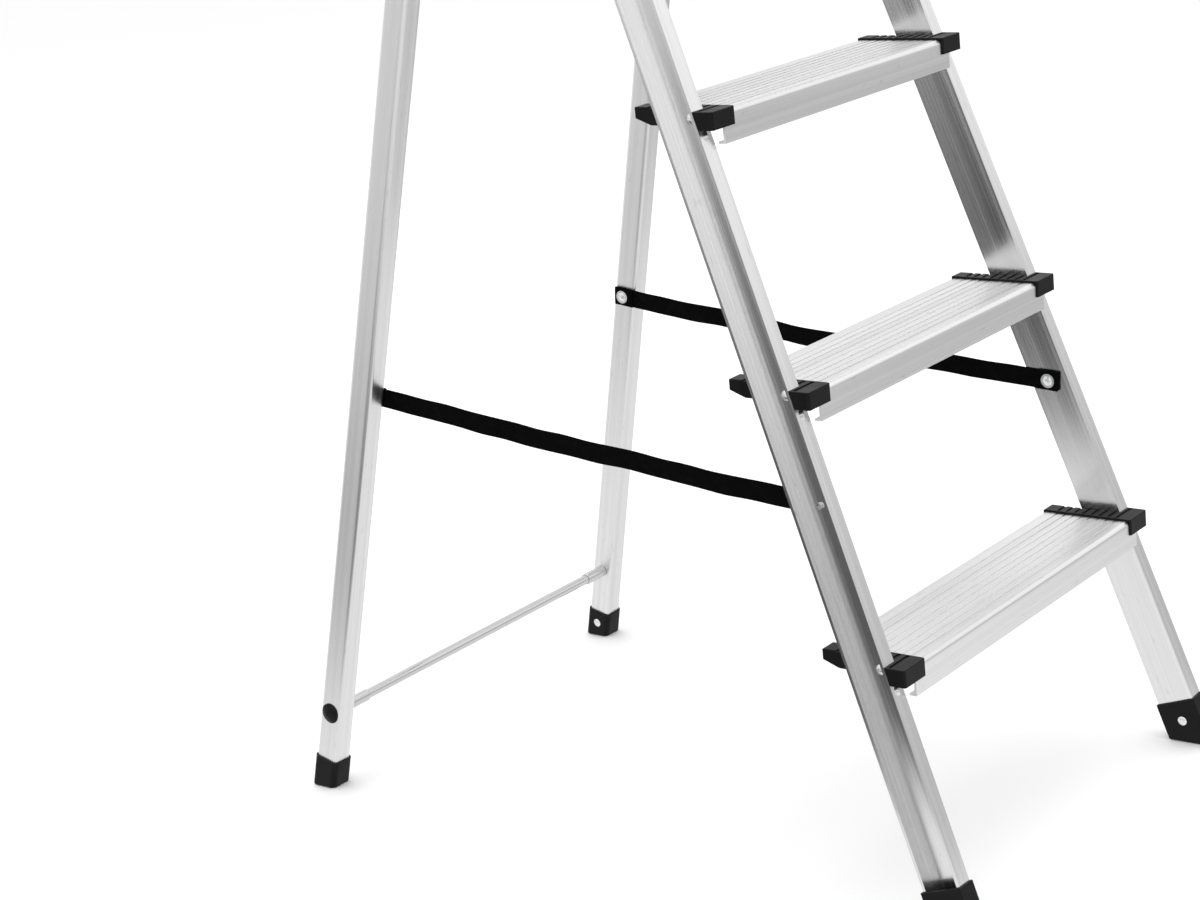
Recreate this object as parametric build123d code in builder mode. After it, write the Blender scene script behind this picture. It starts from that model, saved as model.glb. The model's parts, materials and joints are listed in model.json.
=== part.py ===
from build123d import *
import os
from math import asin, cos, radians, sin, tan

os.makedirs("parts", exist_ok=True)

# Folding step ladder, open on its feet. X is the width, -Y the climbing side, +Z up.
# The origin is on the floor, in the middle of the footprint. Millimetres and degrees.

# ---- Frame sizes
step_spacing = 230.0
tread_count = 4
front_lean = 19.22
rear_lean = 14.2
foot_half_width = 232.0
side_flare = 0.043
pivot_rise = 11.0
rail_rise = 555.0

# ---- Stiles: channels that open outwards
stile_depth = 38.0
stile_flange = 16.4
stile_wall = 1.8
stile_bead = 2.8
stile_bead_width = 2.6

# ---- Rear legs: rounded rectangular tubes
leg_depth = 26.0
leg_width = 22.4
leg_wall = 1.5
leg_corner = 4.0
leg_gap = 2.4
leg_inset_gap = 0.2

# ---- Treads
tread_depth = 88.0
tread_overhang = 37.4
tread_plate = 1.8
tread_skirt = 28.0
tread_rear_skirt = 6.0
tread_lip = 7.0
tread_nose = 4.5
groove_count = 8
groove_width = 1.8
groove_depth = 0.8

# ---- Tread end caps
cap_wall = 2.0
cap_side_wall = 2.4
cap_grip = 17.0
cap_height = 15.5
cap_chamfer_length = 15.8
cap_chamfer_height = 5.8
cap_corner = 2.5
cap_web_gap = 0.6
ridge_height = 1.0

# ---- Platform
platform_depth = 240.0
platform_side_gap = 10.55
platform_skirt = 24.0
platform_pivot_drop = 16.0
platform_pin_radius = 4.0
platform_cap_wall = 8.0
platform_cap_height = 26.0
platform_shoulder_radius = 7.5
platform_hook_x = 105.0
platform_hook_width = 24.0

# ---- Hinge
hinge_pin_radius = 4.0
hinge_plate_wall = 2.5
hinge_plate_radius = 13.0
hinge_plate_half = 28.0
hinge_rivet_half = 19.0
hinge_cover_low = 28.0
hinge_cover_high = 46.0
hinge_cover_wall = 3.0
hinge_cover_clear = 2.6
hinge_screw_rise = 38.0
hinge_slack = 0.4
hinge_head_radius = 7.5
hinge_head_wall = 2.0
bush_length = 36.0

# ---- Tie bars of the rear frame
lower_bar_height = 82.0
lower_bar_radius = 5.0
lower_bar_swage = 1.3
lower_bar_swage_length = 30.0
upper_bar_drop = 52.0
upper_bar_radius = 8.0
bar_wall = 1.2
bar_end_gap = 1.0
plug_radius = 10.4
plug_rise = 3.2
plug_depth = 12.0

# ---- Feet
rear_foot_height = 31.0
front_foot_height = 42.0
foot_wall = 1.8
sole = 6.0
foot_round = 2.0
foot_plug_drop = 8.0

# ---- Webbing straps
strap_width = 19.0
strap_wall = 1.6
strap_rear_height = 411.0
strap_front_height = 360.0
strap_rear_share = 0.576
strap_tail = 9.0
strap_fold = 22.0
strap_gap = 0.3
strap_hole_slack = 0.4

# ---- Top tray
tray_side = 10.0
tray_width = 116.0
tray_height = 46.0
tray_wall = 3.0
tray_grip = 30.0
tray_recess = 12.0
tray_corner = 14.0
tray_screw_drops = (10.0, 21.0)
tray_edge_round = 1.4

# ---- Fasteners and fits
rivet_radius = 2.4
rivet_head_radius = 4.6
rivet_head_rise = 1.6
rivet_tail = 1.8
rivet_bulge = 0.7
ear_rivet_drop = 5.4
strap_head_radius = 4.8
washer_radius = 7.0
washer_wall = 1.0
web_rivet_lead = 4.0
foot_rivet_share = 0.55
fit = 0.1
pin_fit = 0.06

# ---- Small rounds, ribs and cutter lengths
edge_round = 0.8
cover_round = 1.2
ridge_margin = 2.0
ridge_share = 0.42
overrun = 1.0
rivet_bore = 16.0
plate_bore = 24.0
hook_front_share = 1.9
hook_back_share = 2.1
hook_drop_share = 0.6
hook_chamfer = 6.0
hook_exit_back = 26.0
hook_exit_drop = 30.0

# ---- Places worked out from the sizes
platform_height = step_spacing * (tread_count + 1)
pivot_height = platform_height + pivot_rise
stile_top_height = platform_height + rail_rise
front_slope = tan(radians(front_lean))
rear_slope = tan(radians(rear_lean))
pivot_offset = stile_depth / 2 + leg_gap + leg_depth / 2
front_reach = pivot_offset / cos(radians(front_lean)) + front_slope * pivot_height
rear_reach = rear_slope * pivot_height
front_foot_edge = (stile_depth / 2 + foot_wall) / cos(radians(front_lean))
rear_foot_edge = (leg_depth / 2 + foot_wall) / cos(radians(rear_lean))
pivot_y = (front_reach + front_foot_edge - rear_reach - rear_foot_edge) / 2


def stile_y(z):
    """Stile centreline at height z."""
    return pivot_y - pivot_offset / cos(radians(front_lean)) - front_slope * (pivot_height - z)


def stile_x(z):
    """Outer face of the right stile at height z."""
    return foot_half_width - side_flare * z


def web_x(z):
    """Inner face of the right stile's web at height z."""
    return stile_x(z) - stile_flange


def leg_y(z):
    """Rear leg centreline at height z."""
    return pivot_y + rear_slope * (pivot_height - z)


def leg_in_x(z):
    """Inner face of the right rear leg at height z."""
    return web_x(z) + leg_inset_gap


def leg_x(z):
    """Outer face of the right rear leg at height z."""
    return leg_in_x(z) + leg_width


def stile_plane(z):
    """Cross-section plane of the right stile: x outwards from the outer face, y rearwards."""
    return Plane((stile_x(z), stile_y(z), z), x_dir=(1, 0, 0), z_dir=(-side_flare, front_slope, 1))


def leg_plane(z):
    """Cross-section plane of the right leg: x outwards from the outer face, y rearwards."""
    return Plane((leg_x(z), leg_y(z), z), x_dir=(1, 0, 0), z_dir=(-side_flare, -rear_slope, 1))


def stile_solid(low, high, grow):
    """Full rectangular envelope of the right stile between two heights, grown by a clearance."""
    with BuildPart() as envelope:
        with BuildSketch(stile_plane(low)):
            with Locations((-stile_flange / 2, 0)):
                Rectangle(stile_flange + 2 * grow, stile_depth + 2 * grow)
        extrude(amount=(high - low) / cos(radians(front_lean)))
    return envelope.part


def leg_solid(low, high, grow):
    """Full envelope of the right rear leg between two heights, grown by a clearance."""
    with BuildPart() as envelope:
        with BuildSketch(leg_plane(low)):
            with Locations((-leg_width / 2, 0)):
                RectangleRounded(leg_width + 2 * grow, leg_depth + 2 * grow, leg_corner + grow)
        extrude(amount=(high - low) / cos(radians(rear_lean)))
    return envelope.part


def rivet(grip, shank, head, rise):
    """Domed rivet: the head's underside at z 0, the shank going down through the grip."""
    dome_radius = (head**2 + rise**2) / (2 * rise)
    half_turn = asin(head / dome_radius) / 2
    dome_middle = (dome_radius * sin(half_turn), rise - dome_radius + dome_radius * cos(half_turn))
    with BuildPart() as body:
        with BuildSketch(Plane.XZ):
            with BuildLine():
                Polyline(
                    (0, rise), (0, -grip - rivet_tail), (shank + rivet_bulge, -grip - rivet_tail),
                    (shank + rivet_bulge, -grip), (shank, -grip), (shank, 0), (head, 0),
                )
                ThreePointArc((head, 0), dome_middle, (0, rise))
            make_face()
        revolve(axis=Axis.Z)
    return body.part


def both_sides(part):
    """The right-hand piece and its mirror image, as one group of separate solids."""
    with BuildPart() as pair:
        add(part)
        mirror(about=Plane.YZ)
    return pair.part


def left_of(part):
    """Mirror image of a right-hand piece."""
    with BuildPart() as left:
        mirror(part, about=Plane.YZ)
    return left.part


def write_node(part, name):
    """Label the finished piece and write its STEP file."""
    part.label = name
    export_step(part, f"parts/{name}.step")


# ---- Rivet and pin places on the right-hand side
def tread_height(index):
    """Top of a tread."""
    return step_spacing * index


def ear_rivet_plane(index):
    """On the stile's front face, just under the ear of a tread cap."""
    face_rise = stile_depth / 2 * sin(radians(front_lean))
    cross = stile_plane(tread_height(index) + cap_wall - cap_height - ear_rivet_drop - face_rise)
    origin = cross.from_local_coords((-stile_flange / 2, -stile_depth / 2, 0))
    return Plane(origin, x_dir=(1, 0, 0), z_dir=-cross.y_dir)


def web_rivet_plane(index):
    """On the channel side of the stile's web, at a tread cap."""
    cross = stile_plane(tread_height(index) - cap_height / 2)
    origin = cross.from_local_coords((-stile_flange + stile_wall, -web_rivet_lead, 0))
    return Plane(origin, x_dir=(0, 0, 1), z_dir=cross.x_dir)


def hinge_rivet_planes():
    """On the channel side of the web, above and below the pivot's level."""
    cross = hinge_plane()
    planes = []
    for along in (-hinge_rivet_half, hinge_rivet_half):
        origin = cross.from_local_coords((-stile_flange + stile_wall, 0, along))
        planes.append(Plane(origin, x_dir=(0, 0, 1), z_dir=cross.x_dir))
    return planes


def foot_rivet_plane():
    """On the inner face of a front foot."""
    cross = stile_plane(front_foot_height * foot_rivet_share)
    origin = cross.from_local_coords((-stile_flange - foot_wall, 0, 0))
    return Plane(origin, x_dir=(0, 0, 1), z_dir=-cross.x_dir)


def hinge_plane():
    """Stile cross-section plane level with the pivot."""
    rise = pivot_offset * sin(radians(front_lean))
    return stile_plane(pivot_height + rise)


strap_rear_point = Vector(leg_in_x(strap_rear_height), leg_y(strap_rear_height), strap_rear_height)
strap_front_point = Vector(web_x(strap_front_height), stile_y(strap_front_height), strap_front_height)
strap_length = (strap_rear_point - strap_front_point).length
strap_plane = Plane(
    strap_front_point,
    x_dir=strap_rear_point - strap_front_point,
    z_dir=(-1, 0, -side_flare),
)


def strap_fastener(station):
    """Rivet plane over the doubled end of a strap."""
    origin = strap_plane.from_local_coords((station, 0, strap_gap + 2 * strap_wall + washer_wall))
    return Plane(origin, x_dir=strap_plane.x_dir, z_dir=strap_plane.z_dir)


tray_low = stile_top_height - tray_grip
tray_half_length = stile_x(tray_low) + tray_side
platform_half_width = web_x(platform_height) - platform_side_gap
platform_pin_height = platform_height - platform_pivot_drop
platform_pin_y = stile_y(platform_pin_height)
platform_front_y = stile_y(platform_height) - tread_overhang
tread_holes = [ear_rivet_plane(i + 1) for i in range(tread_count)]
tread_holes += [web_rivet_plane(i + 1) for i in range(tread_count)]


def tray_screw_planes():
    """On the tray's right end, level with the stile's top."""
    planes = []
    for drop in tray_screw_drops:
        z = stile_top_height - drop
        planes.append(Plane((tray_half_length, stile_y(z), z), x_dir=(0, 1, 0), z_dir=(1, 0, 0)))
    return planes


def hinge_screw_plane():
    """On the outer face of the hinge cover, above the pivot."""
    origin = hinge_plane().from_local_coords((cover_out, 0, hinge_screw_rise))
    return Plane(origin, x_dir=(0, 0, 1), z_dir=hinge_plane().x_dir)


def corner_of(sketch, point):
    """Vertex of a sketch that is nearest to a point."""
    return sketch.vertices().sort_by_distance((point[0], point[1], 0))[0]


def across(point):
    """A location whose z runs along X, through a point on the right-hand side."""
    return Location(point, (0, 90, 0))


leg_proud = leg_x(pivot_height) - hinge_plane().origin.X
cover_in = leg_proud + hinge_slack
cover_out = cover_in + hinge_cover_wall
pivot_point = Vector(web_x(pivot_height), pivot_y, pivot_height)
platform_pin_point = Vector(web_x(platform_pin_height), platform_pin_y, platform_pin_height)


# ---- Stiles: channels that open outwards, with beaded flange edges
with BuildPart() as right_stile:
    with BuildSketch(stile_plane(-stile_depth)):
        with Locations((-stile_flange + stile_wall / 2, 0)):
            Rectangle(stile_wall, stile_depth)
        with Locations(
            (-stile_flange / 2, (stile_depth - stile_wall) / 2),
            (-stile_flange / 2, (stile_wall - stile_depth) / 2),
        ):
            Rectangle(stile_flange, stile_wall)
        with Locations(
            (-stile_bead_width / 2, (stile_depth - stile_bead) / 2),
            (-stile_bead_width / 2, (stile_bead - stile_depth) / 2),
        ):
            Rectangle(stile_bead_width, stile_bead)
    extrude(amount=(stile_top_height + 2 * stile_depth) / cos(radians(front_lean)))
    split(bisect_by=Plane.XY.offset(sole), keep=Keep.TOP)
    split(bisect_by=Plane.XY.offset(stile_top_height), keep=Keep.BOTTOM)
    with Locations(*tread_holes, *hinge_rivet_planes(), foot_rivet_plane()):
        Cylinder(rivet_radius, rivet_bore, mode=Mode.SUBTRACT)
    with Locations(strap_fastener(0), hinge_screw_plane(), *tray_screw_planes()):
        Cylinder(rivet_radius, 2 * (tray_side + stile_flange + cover_out), mode=Mode.SUBTRACT)
    with Locations(across(platform_pin_point)):
        Cylinder(platform_pin_radius + pin_fit, 4 * stile_wall, mode=Mode.SUBTRACT)
write_node(right_stile.part, "right_stile")
write_node(left_of(right_stile.part), "left_stile")


# ---- Treads: grooved plates with a deep front skirt
def tread_profile(front_y, top_z, depth, skirt, rear_skirt, grooves):
    """End profile of a tread or of the platform, drawn on the YZ plane."""
    with BuildSketch(Plane.YZ) as profile:
        with Locations((front_y + depth / 2, top_z - tread_plate / 2)):
            Rectangle(depth, tread_plate)
        with Locations((front_y + tread_plate / 2, top_z - skirt / 2)):
            Rectangle(tread_plate, skirt)
        with Locations((front_y + tread_lip / 2, top_z - skirt + tread_plate / 2)):
            Rectangle(tread_lip, tread_plate)
        with Locations((front_y + depth - tread_plate / 2, top_z - rear_skirt / 2)):
            Rectangle(tread_plate, rear_skirt)
        nose = profile.vertices().sort_by_distance((front_y, top_z, 0))[0]
        fillet(nose, tread_nose)
        inner = (front_y + tread_plate, top_z - tread_plate, 0)
        crease = profile.vertices().sort_by_distance(inner)[0]
        fillet(crease, tread_nose - tread_plate)
        pitch = (depth - 2 * tread_nose) / (grooves + 1)
        first = front_y + tread_nose + pitch
        with Locations(*[(first + pitch * i, top_z - groove_depth / 2) for i in range(grooves)]):
            Rectangle(groove_width, groove_depth, mode=Mode.SUBTRACT)
    return profile.sketch


def tread_front(index):
    """Front face of a tread's skirt."""
    return stile_y(tread_height(index)) - tread_overhang


for index in range(1, tread_count + 1):
    top = tread_height(index)
    with BuildPart() as tread:
        profile = tread_profile(
            tread_front(index), top, tread_depth, tread_skirt, tread_rear_skirt, groove_count
        )
        extrude(profile, amount=web_x(top) - cap_web_gap - cap_side_wall - fit, both=True)
    write_node(tread.part, f"tread_{index}")


# ---- Tread end caps: shells over the tread's ends, with an ear round the stile's front
def tread_cap(index):
    """Right-hand cap of a tread."""
    top = tread_height(index)
    low = top + cap_wall - cap_height
    outer = stile_x(top + cap_wall)
    side = web_x(top + cap_wall) - cap_web_gap
    inner = side - cap_grip
    front = tread_front(index) - cap_wall
    back = tread_front(index) + tread_depth + cap_wall
    ear_back = stile_y(top + cap_wall)
    with BuildPart() as cap:
        with BuildSketch(Plane.XY.offset(low)) as outline:
            Polygon(
                (inner, front), (outer, front), (outer, ear_back),
                (side, ear_back), (side, back), (inner, back), align=None,
            )
            rounded = [corner_of(outline, point) for point in [(outer, front), (inner, front)]]
            fillet(rounded, cap_corner)
        extrude(amount=cap_height)
        fillet(cap.faces().sort_by(Axis.Z)[-1].edges(), edge_round)
        pitch = (tread_depth - 2 * tread_nose) / (groove_count + 1)
        first = tread_front(index) + tread_nose + pitch
        middle = (inner + outer) / 2
        ridge_places = [(middle, first + pitch * i, top + cap_wall) for i in range(groove_count)]
        with Locations(*ridge_places):
            Box(
                outer - inner - 2 * ridge_margin, pitch * ridge_share, 2 * ridge_height,
                mode=Mode.SUBTRACT,
            )
        with BuildSketch(Plane.YZ.offset(inner - overrun)):
            Polygon(
                (back + overrun, low - overrun), (back + overrun, low + cap_chamfer_height),
                (back, low + cap_chamfer_height), (back - cap_chamfer_length, low),
                (back - cap_chamfer_length, low - overrun), align=None,
            )
        extrude(amount=outer - inner + 2 * overrun, mode=Mode.SUBTRACT)
        hollow_low = low - overrun
        hollow_high = top + fit
        shell_front = front + cap_wall - fit
        shell_back = back - cap_wall + fit
        hollow_length = side - cap_side_wall - inner + overrun
        hollow_middle = inner - overrun + hollow_length / 2
        with Locations(
            (hollow_middle, (shell_front + shell_back) / 2, (hollow_low + hollow_high) / 2)
        ):
            Box(hollow_length, shell_back - shell_front, hollow_high - hollow_low, mode=Mode.SUBTRACT)
        add(stile_solid(low - stile_depth, top + stile_depth, fit), mode=Mode.SUBTRACT)
        with Locations(web_rivet_plane(index)):
            Cylinder(rivet_radius, rivet_bore, mode=Mode.SUBTRACT)
    return cap.part


for index in range(1, tread_count + 1):
    right_cap = tread_cap(index)
    write_node(right_cap, f"tread_{index}_right_cap")
    write_node(left_of(right_cap), f"tread_{index}_left_cap")


# ---- Blind rivets of the treads
with BuildPart() as tread_rivets:
    stile_rivet = rivet(stile_wall, rivet_radius, rivet_head_radius, rivet_head_rise)
    web_grip = stile_wall + cap_web_gap + cap_side_wall + side_flare * cap_height
    web_rivet = rivet(web_grip, rivet_radius, rivet_head_radius, rivet_head_rise)
    for index in range(1, tread_count + 1):
        with Locations(ear_rivet_plane(index)):
            add(stile_rivet)
        with Locations(web_rivet_plane(index)):
            add(web_rivet)
write_node(both_sides(tread_rivets.part), "tread_rivets")


# ---- Front feet: shoes round the stile ends, plugged into the channel
with BuildPart() as stile_pocket:
    add(stile_solid(-stile_depth, front_foot_height + stile_depth, fit))
    split(bisect_by=Plane.XY.offset(sole - fit), keep=Keep.TOP)

with BuildPart() as right_front_foot:
    add(stile_solid(-stile_depth, front_foot_height, foot_wall))
    split(bisect_by=Plane.XY, keep=Keep.TOP)
    fillet(right_front_foot.faces().sort_by(Axis.Z)[0].edges(), foot_round)
    add(stile_pocket.part, mode=Mode.SUBTRACT)
    plug_width = stile_flange - stile_wall - fit
    with BuildSketch(stile_plane(sole)):
        with Locations((-plug_width / 2, 0)):
            Rectangle(plug_width, stile_depth - 2 * stile_bead - 2 * fit)
    extrude(amount=(front_foot_height - sole - foot_plug_drop) / cos(radians(front_lean)))
    split(bisect_by=Plane.XY, keep=Keep.TOP)
    with Locations(foot_rivet_plane()):
        Cylinder(rivet_radius + rivet_bulge, plate_bore, mode=Mode.SUBTRACT)
write_node(right_front_foot.part, "right_front_foot")
write_node(left_of(right_front_foot.part), "left_front_foot")


# ---- Hinge plates: steel plates on the inside of the webs, reaching back to the pivot
def hinge_outline(half_width, low, high):
    """Outline of a hinge piece: a strip along the stile and its run-out to the pivot's eye."""
    with BuildSketch() as outline:
        with Locations((0, (high - low) / 2)):
            Rectangle(2 * half_width, low + high)
        with Locations((pivot_offset, 0)):
            Circle(hinge_plate_radius)
        make_hull()
    return outline.sketch


def hinge_face(x):
    """Plane parallel to the web, x outwards of the stile's outer face."""
    cross = hinge_plane()
    return Plane(cross.from_local_coords((x, 0, 0)), x_dir=cross.y_dir, z_dir=cross.x_dir)


with BuildPart() as right_hinge_plate:
    with BuildSketch(hinge_face(-stile_flange - hinge_plate_wall)):
        add(hinge_outline(stile_depth / 2 - leg_corner, hinge_plate_half, hinge_plate_half))
    extrude(amount=hinge_plate_wall)
    with Locations(*hinge_rivet_planes()):
        Cylinder(rivet_radius, plate_bore, mode=Mode.SUBTRACT)
    with Locations(across(pivot_point)):
        Cylinder(hinge_pin_radius + pin_fit, plate_bore, mode=Mode.SUBTRACT)
write_node(right_hinge_plate.part, "right_hinge_plate")
write_node(left_of(right_hinge_plate.part), "left_hinge_plate")


# ---- Hinge covers: mouldings that plug the channel and carry the pivot's outer eye
with BuildPart() as right_hinge_cover:
    with BuildSketch(hinge_face(-stile_flange + stile_wall + hinge_cover_clear)):
        with Locations((0, (hinge_cover_high - hinge_cover_low) / 2)):
            Rectangle(stile_depth - 2 * stile_bead - 2 * fit, hinge_cover_high + hinge_cover_low)
    extrude(amount=stile_flange - stile_wall - hinge_cover_clear + fit)
    with BuildSketch(hinge_face(fit)):
        with Locations((0, (hinge_cover_high - hinge_cover_low) / 2)):
            Rectangle(stile_depth, hinge_cover_high + hinge_cover_low)
    extrude(amount=cover_out - fit)
    with BuildSketch(hinge_face(cover_in)):
        add(hinge_outline(stile_depth / 2, hinge_cover_low, hinge_cover_high))
    extrude(amount=hinge_cover_wall)
    outer_face = right_hinge_cover.faces().sort_by(Axis.X)[-1]
    fillet(outer_face.edges(), cover_round)
    with Locations(across(pivot_point)):
        Cylinder(hinge_pin_radius + pin_fit, 8 * stile_flange, mode=Mode.SUBTRACT)
    with Locations(hinge_screw_plane()):
        Cylinder(rivet_radius, 8 * stile_flange, mode=Mode.SUBTRACT)
write_node(right_hinge_cover.part, "right_hinge_cover")
write_node(left_of(right_hinge_cover.part), "left_hinge_cover")


# ---- Hinge rivets, cover screws and pivot pins
with BuildPart() as hinge_rivets:
    plate_rivet = rivet(stile_wall + hinge_plate_wall, rivet_radius, rivet_head_radius, rivet_head_rise)
    with Locations(*hinge_rivet_planes()):
        add(plate_rivet)
write_node(both_sides(hinge_rivets.part), "hinge_rivets")

with BuildPart() as hinge_screws:
    with Locations(hinge_screw_plane()):
        add(rivet(cover_out + stile_flange, rivet_radius, rivet_head_radius, rivet_head_rise))
write_node(both_sides(hinge_screws.part), "hinge_screws")

pin_clear = side_flare * hinge_head_radius + fit
plate_face = hinge_plane().from_local_coords((-stile_flange - hinge_plate_wall, pivot_offset, 0))
cover_face = hinge_plane().from_local_coords((cover_out, pivot_offset, 0))
pin_inner = plate_face.X - pin_clear
pin_outer = cover_face.X + pin_clear
with BuildPart() as hinge_pins:
    with Locations(across((pin_inner, pivot_y, pivot_height))):
        Cylinder(
            hinge_pin_radius, pin_outer - pin_inner,
            align=(Align.CENTER, Align.CENTER, Align.MIN),
        )
    with Locations(
        across((pin_inner - hinge_head_wall, pivot_y, pivot_height)),
        across((pin_outer, pivot_y, pivot_height)),
    ):
        Cylinder(hinge_head_radius, hinge_head_wall, align=(Align.CENTER, Align.CENTER, Align.MIN))
    head_rims = hinge_pins.edges().filter_by(GeomType.CIRCLE).group_by(Axis.X)
    fillet(head_rims[0], edge_round)
    head_rims = hinge_pins.edges().filter_by(GeomType.CIRCLE).group_by(Axis.X)
    fillet(head_rims[-1], edge_round)
write_node(both_sides(hinge_pins.part), "hinge_pins")


# ---- Rear legs: rounded tubes whose tops are turned round the pivot
def bar_point(height):
    """Middle of the right leg at a bar's height."""
    return (leg_in_x(height) + leg_width / 2, leg_y(height), height)


upper_bar_height = pivot_height - upper_bar_drop * cos(radians(rear_lean))
leg_top = leg_depth / 2


def round_top_cutter():
    """What is cut off above the pivot to leave a half-round end."""
    with BuildPart() as cutter:
        with BuildSketch(leg_plane(pivot_height)):
            with Locations((-leg_width / 2, 0)):
                Rectangle(3 * leg_width, 2 * leg_depth)
        extrude(amount=4 * leg_depth)
        with Locations(across(pivot_point)):
            Cylinder(leg_top, 6 * leg_width, mode=Mode.SUBTRACT)
    return cutter.part


def rear_foot_rivet_plane():
    """On the inner face of a rear foot."""
    cross = leg_plane(rear_foot_height * foot_rivet_share)
    origin = cross.from_local_coords((-leg_width - foot_wall, 0, 0))
    return Plane(origin, x_dir=(0, 0, 1), z_dir=-cross.x_dir)


with BuildPart() as right_rear_leg:
    with BuildSketch(leg_plane(-leg_depth)):
        with Locations((-leg_width / 2, 0)):
            RectangleRounded(leg_width, leg_depth, leg_corner)
            RectangleRounded(
                leg_width - 2 * leg_wall, leg_depth - 2 * leg_wall, leg_corner - leg_wall,
                mode=Mode.SUBTRACT,
            )
    extrude(amount=(pivot_height + 2 * leg_depth) / cos(radians(rear_lean)))
    split(bisect_by=Plane.XY.offset(sole), keep=Keep.TOP)
    add(round_top_cutter(), mode=Mode.SUBTRACT)
    with Locations(across(pivot_point)):
        Cylinder(hinge_pin_radius + pin_fit, 6 * leg_width, mode=Mode.SUBTRACT)
    with Locations(across(bar_point(lower_bar_height))):
        Cylinder(lower_bar_radius + fit, 6 * leg_width, mode=Mode.SUBTRACT)
    with Locations(across(bar_point(upper_bar_height))):
        Cylinder(upper_bar_radius + fit, 6 * leg_width, mode=Mode.SUBTRACT)
    with Locations(strap_fastener(strap_length), rear_foot_rivet_plane()):
        Cylinder(rivet_radius, leg_width, mode=Mode.SUBTRACT)
write_node(right_rear_leg.part, "right_rear_leg")
write_node(left_of(right_rear_leg.part), "left_rear_leg")


# ---- Leg bushes: plugs in the legs' tops that carry the pins
with BuildPart() as right_leg_bush:
    with BuildSketch(leg_plane(pivot_height - bush_length)):
        with Locations((-leg_width / 2, 0)):
            RectangleRounded(
                leg_width - 2 * leg_wall - 2 * fit, leg_depth - 2 * leg_wall - 2 * fit,
                leg_corner - leg_wall - fit,
            )
    extrude(amount=(bush_length + 2 * leg_depth) / cos(radians(rear_lean)))
    add(round_top_cutter(), mode=Mode.SUBTRACT)
    with Locations(across(pivot_point)):
        Cylinder(hinge_pin_radius + pin_fit, 6 * leg_width, mode=Mode.SUBTRACT)
write_node(right_leg_bush.part, "right_leg_bush")
write_node(left_of(right_leg_bush.part), "left_leg_bush")


# ---- Tie bars between the rear legs, with swaged ends on the lower one
def tie_bar(height, radius, swage):
    """Tube right through both legs."""
    half = leg_x(height) - bar_end_gap
    x, y, z = bar_point(height)
    with BuildPart() as bar:
        with Locations(across((0, y, z))):
            Cylinder(radius, 2 * half)
        if swage > 0:
            shoulder = leg_in_x(height) - lower_bar_swage_length / 2 - hinge_slack
            with Locations(across((shoulder, y, z)), across((-shoulder, y, z))):
                Cylinder(radius + swage, lower_bar_swage_length)
            fillet(bar.edges().filter_by(GeomType.CIRCLE).filter_by(
                lambda edge: edge.radius > radius + swage / 2), swage / 2)
        with Locations(across((0, y, z))):
            Cylinder(radius - bar_wall, 2 * half, mode=Mode.SUBTRACT)
    return bar.part


write_node(tie_bar(lower_bar_height, lower_bar_radius, lower_bar_swage), "lower_tie_bar")
write_node(tie_bar(upper_bar_height, upper_bar_radius, 0), "upper_tie_bar")


# ---- Bar plugs: domed caps on the outer faces of the legs
def bar_plug(height, radius):
    """Right-hand plug of a tie bar."""
    x, y, z = bar_point(height)
    head = plug_radius
    dome_radius = (head**2 + plug_rise**2) / (2 * plug_rise)
    half_turn = asin(head / dome_radius) / 2
    dome_middle = (dome_radius * sin(half_turn), plug_rise - dome_radius + dome_radius * cos(half_turn))
    stem = radius - bar_wall - fit
    seat = side_flare * head + fit
    with BuildPart() as plug:
        with BuildSketch(Plane.XZ):
            with BuildLine():
                Polyline((0, plug_rise), (0, -plug_depth), (stem, -plug_depth), (stem, 0), (head, 0))
                ThreePointArc((head, 0), dome_middle, (0, plug_rise))
            make_face()
        revolve(axis=Axis.Z)
    with BuildPart() as placed:
        with Locations(across((leg_x(height) + seat, y, z))):
            add(plug.part)
    return placed.part


with BuildPart() as bar_plugs:
    add(bar_plug(lower_bar_height, lower_bar_radius))
    add(bar_plug(upper_bar_height, upper_bar_radius))
write_node(both_sides(bar_plugs.part), "bar_plugs")


# ---- Rear feet: sleeves over the legs' ends, with a plug inside the tube
with BuildPart() as leg_pocket:
    add(leg_solid(-leg_depth, rear_foot_height + leg_depth, fit))
    split(bisect_by=Plane.XY.offset(sole - fit), keep=Keep.TOP)

with BuildPart() as right_rear_foot:
    add(leg_solid(-leg_depth, rear_foot_height, foot_wall))
    split(bisect_by=Plane.XY, keep=Keep.TOP)
    fillet(right_rear_foot.faces().sort_by(Axis.Z)[0].edges(), foot_round)
    add(leg_pocket.part, mode=Mode.SUBTRACT)
    with BuildSketch(leg_plane(sole)):
        with Locations((-leg_width / 2, 0)):
            RectangleRounded(
                leg_width - 2 * leg_wall - 2 * fit, leg_depth - 2 * leg_wall - 2 * fit,
                leg_corner - leg_wall - fit,
            )
    extrude(amount=(rear_foot_height - sole - foot_plug_drop) / cos(radians(rear_lean)))
    with Locations(rear_foot_rivet_plane()):
        Cylinder(rivet_radius + rivet_bulge, leg_width, mode=Mode.SUBTRACT)
write_node(right_rear_foot.part, "right_rear_foot")
write_node(left_of(right_rear_foot.part), "left_rear_foot")


# ---- Foot rivets
def foot_rivet(wall):
    """Blind rivet through a foot's skirt and the profile's wall."""
    return rivet(foot_wall + wall, rivet_radius, rivet_head_radius, rivet_head_rise)


with BuildPart() as front_foot_rivets:
    with Locations(foot_rivet_plane()):
        add(foot_rivet(stile_wall))
write_node(both_sides(front_foot_rivets.part), "front_foot_rivets")

with BuildPart() as rear_foot_rivets:
    with Locations(rear_foot_rivet_plane()):
        add(foot_rivet(leg_wall))
write_node(both_sides(rear_foot_rivets.part), "rear_foot_rivets")


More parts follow.
